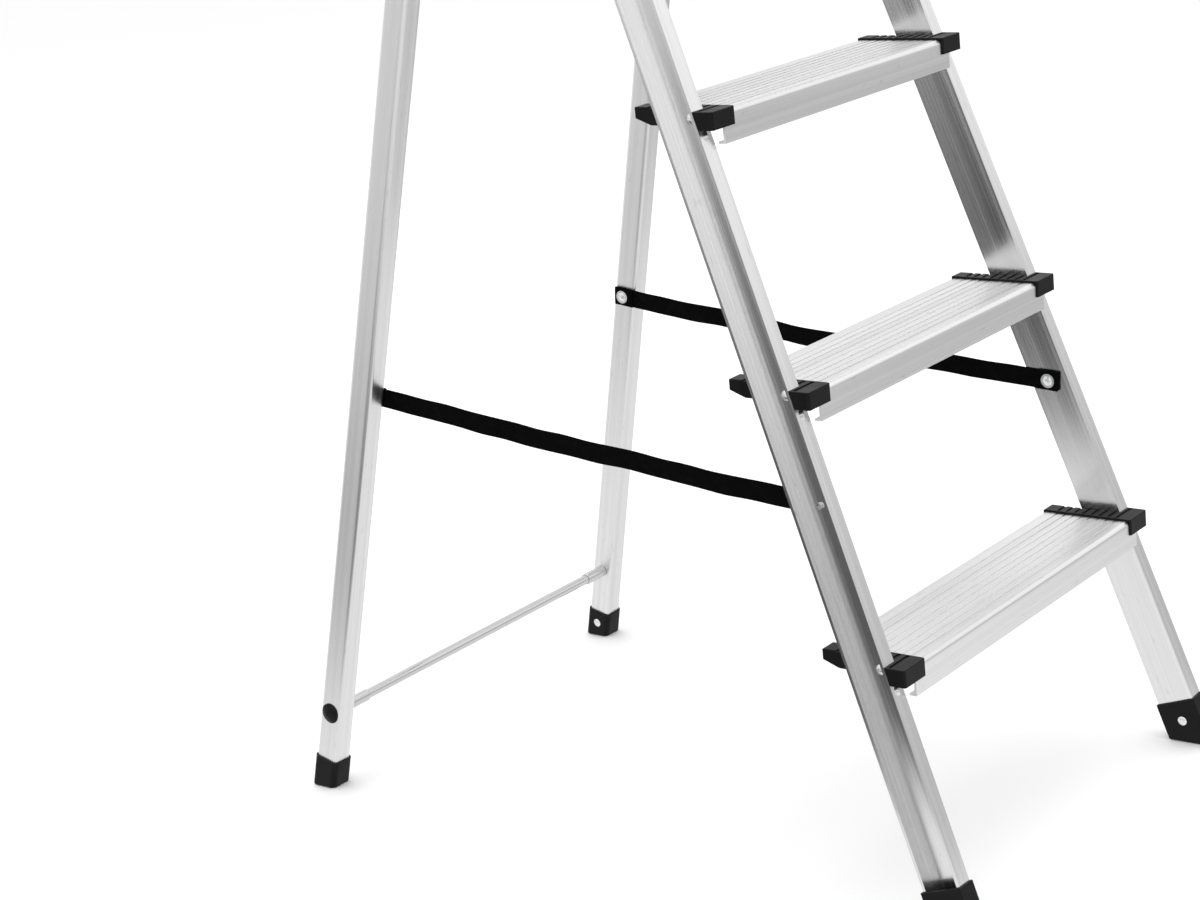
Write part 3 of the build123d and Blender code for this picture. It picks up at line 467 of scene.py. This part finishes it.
# %% [markdown]
# ## Limiter straps
# Two webbing straps stop the frames from spreading. Each is one band from a rivet in the stile to a rivet in
# the rear leg, turned back on itself at both ends so that the rivet has two layers to hold. It could be a
# plain box, but then it would have neither soft selvedges nor folds. Here a rounded flat profile is carried
# along a path that doubles back at both ends, with the small waves of a band that has been folded many times.


# %% Helpers for meshes worked out on a grid
def swept_mesh(name, rings, across_mm, along_mm):
    """Closed tube from rings of points (stations, profile, 3), with both ends capped and a UV map in mm."""
    stations, around = rings.shape[:2]
    index = np.arange(stations * around).reshape(stations, around)
    following = np.roll(index, -1, axis=1)
    quads = np.stack([index[:-1], following[:-1], following[1:], index[1:]], axis=-1).reshape(-1, 4)
    caps = [index[0][::-1].tolist(), index[-1].tolist()]
    mesh = bpy.data.meshes.new(name)
    mesh.from_pydata(rings.reshape(-1, 3).tolist(), [], quads.tolist() + caps)
    layer = mesh.uv_layers.new(name="strap")
    corner = np.empty(len(mesh.loops), int)
    mesh.loops.foreach_get("vertex_index", corner)
    u = np.repeat(along_mm, around)[corner]
    v = np.tile(across_mm, stations)[corner]
    layer.data.foreach_set("uv", np.stack([u, v], axis=-1).ravel())
    mesh.polygons.foreach_set("use_smooth", np.ones(len(mesh.polygons), bool))
    mesh.update()
    piece = bpy.data.objects.new(name, mesh)
    bpy.context.scene.collection.objects.link(piece)
    return piece


# %% Measure where the straps run
# Width and thickness of the webbing, its gap to the frame, how far it passes the rivet, the length of its
# doubled end, and how far from the fold the bend reaches each way.
STRAP_WIDTH, STRAP_WALL, STRAP_GAP = 0.019, 0.0016, 0.0003
STRAP_TAIL, STRAP_DOUBLE, STRAP_BEND = 0.009, 0.022, 0.014


def strap_line(side):
    """Start, unit direction, unit normal and far station of a strap, from its joints and its measured box."""
    front = np.array(joints[side + "_strap_front_swing"]["pos_m"])
    fold = np.array(joints[side + "_strap_rear_fold"]["pos_m"])
    along = fold - front
    low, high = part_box(side + "_strap_rear")
    outward = 1.0 if front[0] > 0 else -1.0
    along[0] = 0.0
    along /= np.linalg.norm(along)
    width_rise = abs(along[2]) * STRAP_WIDTH / 2
    far = (high[1] - front[1] - width_rise) / along[1]
    rear_x = low[0] if outward > 0 else high[0]
    near_low, near_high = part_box(side + "_strap_front")
    front_x = near_low[0] if outward > 0 else near_high[0]
    drift = (rear_x - front_x) / (far + STRAP_TAIL)
    along = np.array([drift, along[1], along[2]])
    along /= np.linalg.norm(along)
    inward = np.cross(along, (0.0, 0.0, 1.0))
    inward *= -outward * np.sign(inward[0]) / np.linalg.norm(inward)
    return front, along, inward, far, fold


# %% Carry the webbing's profile along its path
def strap_path(far, count=260):
    """Arc length, station and height over the leg of the path: inner end, turn, long run, turn, inner end.

    The runs are straight and the turns are half circles of radius half the layer pitch, taken at equal steps
    of arc length from a table of the path's corner points.
    """
    pitch = STRAP_WALL + STRAP_GAP / 2
    lower = STRAP_GAP + STRAP_WALL / 2
    turn = np.linspace(0.0, np.pi, 9)[1:-1]
    out, up = np.sin(turn) * pitch / 2, np.cos(turn) * pitch / 2
    start_turn = np.stack([-STRAP_TAIL - out, lower + pitch / 2 + up], -1)
    end_turn = np.stack([far + out, lower + pitch / 2 - up], -1)
    corners = np.concatenate([
        [(STRAP_DOUBLE - STRAP_TAIL, lower + pitch), (-STRAP_TAIL, lower + pitch)], start_turn,
        [(-STRAP_TAIL, lower), (far, lower)], end_turn,
        [(far, lower + pitch), (far - STRAP_DOUBLE, lower + pitch)],
    ])
    reach = np.concatenate([[0.0], np.cumsum(np.linalg.norm(np.diff(corners, axis=0), axis=1))])
    fine = np.unique(np.concatenate([reach, np.linspace(0.0, reach[-1], count)]))
    return fine, np.interp(fine, reach, corners[:, 0]), np.interp(fine, reach, corners[:, 1])


def make_strap(side):
    """Webbing strap: a superellipse profile of 19 by 1.6 mm on a doubled-back path with slow waves.

    Sag across the width is a sine arch plus two smaller sines, the ripple off the plane is a sine of another
    length, and both fade to nothing at the rivets. The band twists by a few degrees in step with the ripple.
    """
    front, along, inward, far, fold = strap_line(side)
    reach, station, height = strap_path(far)
    edge = np.cross(inward, along)
    edge *= np.sign(edge[2])
    share = np.clip(station / (far - STRAP_TAIL), 0.0, 1.0)
    fade = np.sin(np.pi * share) ** 0.7
    phase = 0.9 if side == "left" else 2.3
    sag = -0.0034 * fade + 0.0007 * fade * np.sin(2 * np.pi * 2.6 * share + phase)
    sag = sag + 0.00035 * fade * np.sin(2 * np.pi * 7.3 * share + 2 * phase)
    ripple = 0.0009 * fade * (1 + np.sin(2 * np.pi * 3.4 * share + phase))
    twist = np.radians(2.5) * fade * np.sin(2 * np.pi * 1.7 * share + phase)
    angle = np.linspace(0.0, 2 * np.pi, 28, endpoint=False)
    half_width = STRAP_WIDTH / 2 * (1 + 0.012 * np.sin(2 * np.pi * 11 * share + phase))
    flat = np.sign(np.cos(angle)) * np.abs(np.cos(angle)) ** 0.35
    thick = np.sign(np.sin(angle)) * np.abs(np.sin(angle)) ** 0.55 * STRAP_WALL / 2
    slope = np.gradient(height, reach)
    run = np.gradient(station, reach)
    size = np.hypot(slope, run)
    slope, run = slope / size, run / size
    centre = front + station[:, None] * along + (height + ripple)[:, None] * inward + sag[:, None] * edge
    normal = run[:, None] * inward - slope[:, None] * along
    wide = np.cos(twist)[:, None] * edge + np.sin(twist)[:, None] * normal
    deep = np.cos(twist)[:, None] * normal - np.sin(twist)[:, None] * edge
    rings = (
        centre[:, None, :]
        + (half_width[:, None] * flat)[:, :, None] * wide[:, None, :]
        + thick[None, :, None] * deep[:, None, :]
    )
    if np.dot(np.cross(wide[0], deep[0]), run[0] * along) > 0:
        rings = rings[:, ::-1]
        flat = flat[::-1]
    piece = swept_mesh(side + "_strap", rings, flat * STRAP_WIDTH / 2 * 1000, reach * 1000)
    piece.data.materials.append(strap_finish)
    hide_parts(side + "_strap_front", side + "_strap_rear")
    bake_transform(piece)
    length = round((far - STRAP_TAIL) * 1000, 1)
    print(side, "strap:", length, "mm between rivets,", len(piece.data.vertices), "points")
    return piece


straps = [make_strap(side) for side in ("left", "right")]
print("made", [strap.name for strap in straps])

# %% [markdown]
# ## Stage, light and camera
# The ladder stands on a plain pale floor in soft studio light. The strongest light comes from above and the
# sky is bright, so most faces are pale and the outer sides of the left legs are mid grey. In reflections only,
# the floor glows with a painted reflection, darker out on the left and slightly darker in front, as a floor is
# beyond the edge of a light tent. The sky has a dim band low on the left. Both give the bare metal its
# contrast.


# %% Floor
def make_floor(size=40.0):
    """A flat square just under the feet.

    Glossy rays see a glow in its place, a painted reflection whose tone is a product of three: a trough across
    a slanting line, which starts a little way out on the left, a round dim patch on the left behind the ladder,
    and a slow fall towards the front right.
    """
    half, drop = size / 2, 0.0002
    corners = [(-half, -half, 0), (half, -half, 0), (half, half, 0), (-half, half, 0)]
    mesh = bpy.data.meshes.new("floor")
    mesh.from_pydata(corners, [], [(0, 1, 2, 3)])
    floor = bpy.data.objects.new("floor", mesh)
    floor.location = (0.0, 0.0, cad_low[2] - drop)
    bpy.context.scene.collection.objects.link(floor)
    material, tree, shader = open_material("pale floor", Roughness=0.9, Specular_IOR_Level=0.1)
    shader.inputs["Base Color"].default_value = grey(0.93)
    place = tree.nodes.new("ShaderNodeTexCoord").outputs["Object"]
    split = add_node(tree, "ShaderNodeSeparateXYZ", {0: place})
    x, y = split.outputs[0], split.outputs[1]
    # Painted reflection: these tones set how brightly the floor glows, for glossy rays only.
    slant_x, slant_y = 0.61, 0.79
    slant = math(tree, "ADD", math(tree, "MULTIPLY", x, slant_x), math(tree, "MULTIPLY", y, slant_y))
    near_side = remap(tree, slant, 0.34, -0.22, 0.0, 1.0)
    far_side = remap(tree, slant, -1.0, -0.65, 0.0, 1.0)
    trough = math(tree, "MULTIPLY", near_side, far_side)
    beside = remap(tree, x, -0.42, -0.62, 0.0, 1.0)
    bright, dark = 0.98, 0.10
    left_painted_reflection = remap(tree, math(tree, "MULTIPLY", trough, beside), 0.0, 1.0, bright, dark)
    patch_centre, patch_inner, patch_outer, patch_dim = (-1.2, 1.15, 0.0), 0.25, 0.75, 0.52
    apart = add_node(tree, "ShaderNodeVectorMath", {0: place, 1: patch_centre}, operation="DISTANCE")
    patch_painted_reflection = remap(tree, apart.outputs["Value"], patch_inner, patch_outer, patch_dim, 1.0)
    front_start, front_end, front_dim = 0.9, 2.2, 0.58
    front_painted_reflection = remap(tree, math(tree, "SUBTRACT", x, y), front_start, front_end, 1.0, front_dim)
    # Strength of the painted reflection glow.
    tone = math(tree, "MULTIPLY", math(tree, "MULTIPLY", left_painted_reflection, patch_painted_reflection), front_painted_reflection)
    # Glossy rays get the glowing painted reflection, and all other rays get the pale diffuse floor.
    glossy = tree.nodes.new("ShaderNodeLightPath").outputs["Is Glossy Ray"]
    painted_reflection_glow = add_node(tree, "ShaderNodeEmission", {"Color": grey(1.0), "Strength": tone})
    blend = add_node(tree, "ShaderNodeMixShader", {0: glossy, 1: shader.outputs[0]})
    tree.links.new(painted_reflection_glow.outputs[0], blend.inputs[2])
    output = next(node for node in tree.nodes if node.type == "OUTPUT_MATERIAL")
    tree.links.new(blend.outputs[0], output.inputs["Surface"])
    floor.data.materials.append(material)


make_floor()


# %% Lights and sky
def area_light(name, place, target, size, power):
    """A square soft light at a place, turned towards a target."""
    lamp = bpy.data.lights.new(name, "AREA")
    lamp.shape, lamp.size, lamp.energy = "SQUARE", size, power
    holder = bpy.data.objects.new(name, lamp)
    holder.location = place
    holder.rotation_euler = (Vector(target) - Vector(place)).to_track_quat("-Z", "Y").to_euler()
    bpy.context.scene.collection.objects.link(holder)


area_light("front light", (2.5, -2.4, 2.1), (0.0, 0.0, 0.8), 2.2, 2.0)
area_light("left light", (-3.4, -2.8, 2.4), (0.0, 0.0, 0.8), 2.2, 5.0)
area_light("top light", (0.2, 0.3, 4.2), (0.0, 0.0, 0.0), 3.2, 60.0)
area_light("back light", (1.8, 3.6, 2.4), (0.0, 0.0, 0.8), 2.4, 18.0)

world = bpy.data.worlds.new("studio")
world.use_nodes = True
bpy.context.scene.world = world
sky = world.node_tree
view = sky.nodes.new("ShaderNodeTexCoord").outputs["Generated"]
direction = add_node(sky, "ShaderNodeSeparateXYZ", {0: view})
height = direction.outputs[2]
leftward = remap(sky, direction.outputs[0], -0.2, -0.5, 0.0, 1.0)
HORIZON_TONE, HIGH_TONE, HIGH_START = 0.60, 1.06, 0.34
overall = remap(sky, height, 0.0, HIGH_START, HORIZON_TONE, HIGH_TONE)
left_glow = math(sky, "MULTIPLY", leftward, remap(sky, height, 0.0, 0.2, 0.38, 0.04))
sky_tone = math(sky, "ADD", overall, left_glow)
band_rise = remap(sky, height, 0.03, 0.07, 0.0, 1.0)
band_fall = remap(sky, height, 0.15, 0.11, 0.0, 1.0)
dim_band = math(sky, "MULTIPLY", math(sky, "MULTIPLY", band_rise, band_fall), leftward)
BAND_TONE = 0.30
sky_tone = math(sky, "MULTIPLY", sky_tone, remap(sky, dim_band, 0.0, 1.0, 1.0, BAND_TONE))
sky.links.new(sky_tone, sky.nodes["Background"].inputs["Strength"])
sky.nodes["Background"].inputs["Color"].default_value = grey(1.0)


# %% Camera
def make_camera(place, heading, dip, tilt, lens):
    """Camera at a place: it looks along a heading, dips below the horizon and is tilted about its view axis."""
    heading, dip, tilt = np.radians([heading, dip, tilt])
    level = np.cos(dip)
    ahead = np.array([np.cos(heading) * level, np.sin(heading) * level, -np.sin(dip)])
    right = np.array([np.sin(heading), -np.cos(heading), 0.0])
    up = np.cross(right, ahead)
    turn_cos, turn_sin = np.cos(tilt), np.sin(tilt)
    right, up = turn_cos * right + turn_sin * up, -turn_sin * right + turn_cos * up
    matrix = np.eye(4)
    matrix[:3, 0], matrix[:3, 1], matrix[:3, 2], matrix[:3, 3] = right, up, -ahead, place
    lens_data = bpy.data.cameras.new("camera")
    lens_data.sensor_width, lens_data.lens = 36.0, lens
    camera = bpy.data.objects.new("camera", lens_data)
    camera.matrix_world = Matrix(matrix.tolist())
    bpy.context.scene.collection.objects.link(camera)
    bpy.context.scene.camera = camera


make_camera(place=(-1.8788, -1.3916, 1.0290), heading=39.54, dip=16.48, tilt=-6.06, lens=76.31)
bpy.context.scene.view_settings.view_transform = "Standard"
